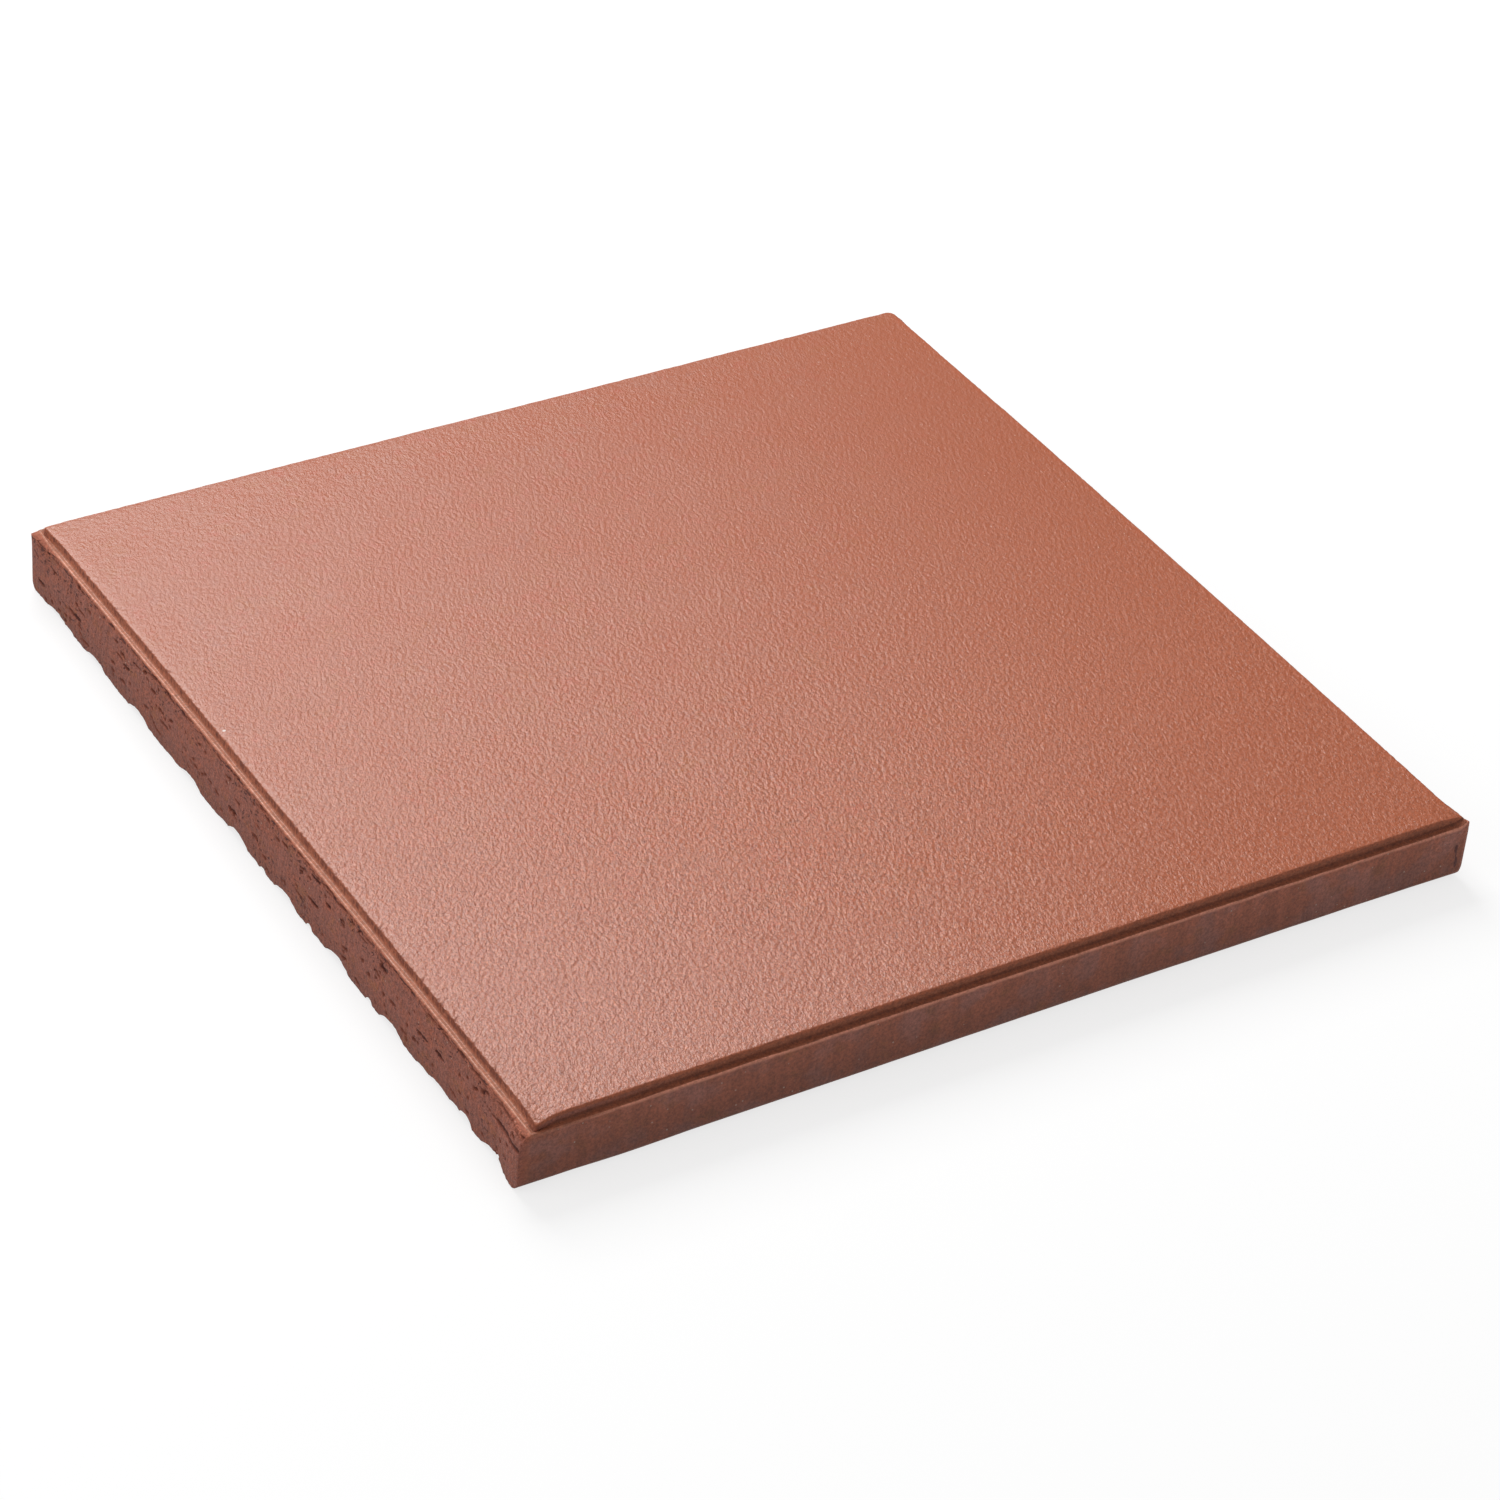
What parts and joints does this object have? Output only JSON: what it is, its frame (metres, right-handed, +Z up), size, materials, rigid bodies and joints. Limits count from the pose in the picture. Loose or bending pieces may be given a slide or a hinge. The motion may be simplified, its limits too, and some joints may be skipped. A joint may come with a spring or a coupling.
{
  "type": "ceramic floor tile",
  "caption": "Square unglazed red clay floor tile with a raised, slightly crowned walking face, a narrow ledge round it and a grooved underside for the bedding mortar",
  "frame": {"origin": "middle of the underside, on the plane of the lands between the grooves", "axes": "+X along the grooves from one wire-cut end to the other, +Y across the grooves from one smooth extruded side to the other, +Z up through the walking face"},
  "size_m": [0.202, 0.2, 0.015],
  "materials": {
    "fired_clay": "matte"
  },
  "bodies": {
    "root": {"tile": "fired_clay"}
  },
  "joints": []
}
